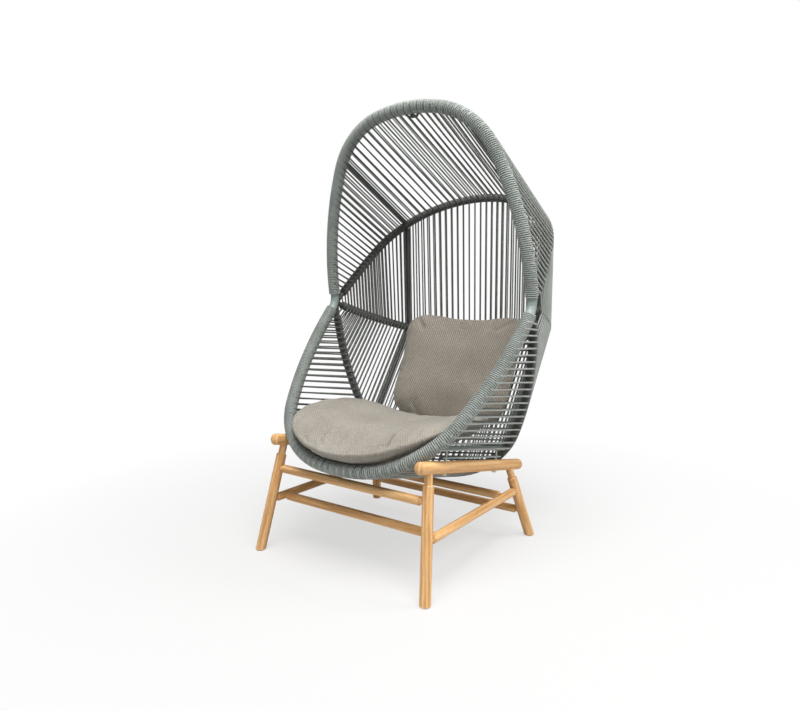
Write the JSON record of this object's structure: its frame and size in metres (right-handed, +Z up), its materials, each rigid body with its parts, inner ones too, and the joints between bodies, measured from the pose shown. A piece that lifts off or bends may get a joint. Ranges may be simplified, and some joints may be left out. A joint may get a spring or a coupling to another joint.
{
  "type": "hooded rope lounge chair",
  "caption": "Lounge chair with a tall woven rope hood on bent metal hoops, a turned teak base and loose seat and back cushions.",
  "frame": {"origin": "on the floor under the middle of the chair's bounding box", "axes": "+Z up, the chair faces -Y, +X to the sitter's left; x = 0 is the plane of symmetry"},
  "size_m": [0.882, 0.9425, 1.5006],
  "materials": {
    "grey_tube": "satin powder coat, grey green",
    "dark_tube": "satin powder coat, dark grey green",
    "rope": "round outdoor rope, grey green",
    "teak": "sanded oiled teak",
    "steel": "plain stainless steel",
    "pale_plastic": "moulded, matt",
    "cushion_fabric": "coarse diagonal weave, taupe",
    "cushion_filling": "plain foam and fibre filling"
  },
  "bodies": {
    "frame": {"hood_tube": "grey_tube", "seat_rim_tube": "grey_tube", "upper_back_tube": "dark_tube", "belt_tube": "dark_tube", "seat_hoop_tube": "dark_tube", "hood_strut_left": "dark_tube", "hood_strut_right": "dark_tube", "back_strut_left": "dark_tube", "back_strut_right": "dark_tube", "lower_back_strut_left": "dark_tube", "lower_back_strut_right": "dark_tube", "seat_tube_left": "grey_tube", "seat_tube_right": "grey_tube", "crown_plate": "dark_tube", "hood_wrap": "rope", "seat_rim_wrap": "rope", "upper_back_wrap": "rope", "belt_wrap": "rope", "seat_hoop_wrap": "rope", "hood_ropes": "rope", "upper_back_ropes": "rope", "lower_back_ropes": "rope", "seat_ropes": "rope", "rail_left": "teak", "rail_right": "teak", "rail_strap_left": "grey_tube", "rail_strap_right": "grey_tube", "rail_studs": "steel", "rail_nuts": "pale_plastic", "front_leg_left": "teak", "front_leg_right": "teak", "rear_leg_left": "teak", "rear_leg_right": "teak", "side_stretcher_left": "teak", "side_stretcher_right": "teak", "front_upper_cross_rail": "teak", "front_lower_cross_rail": "teak", "middle_cross_rail": "teak", "rear_cross_rail": "teak", "foot_glides": "pale_plastic"},
    "seat_cushion": {"seat_cushion_cover": "cushion_fabric", "seat_cushion_core": "cushion_filling"},
    "back_cushion": {"back_cushion_cover": "cushion_fabric", "back_cushion_core": "cushion_filling"}
  },
  "joints": [
    {"name": "seat_cushion_lift", "type": "slide", "parent": "frame", "child": "seat_cushion", "axis": [0, -0.8189, 0.5739], "range_m": [0, 0.9]},
    {"name": "back_cushion_lift", "type": "slide", "parent": "frame", "child": "back_cushion", "axis": [0, -0.8189, 0.5739], "range_m": [0, 1.2]}
  ]
}
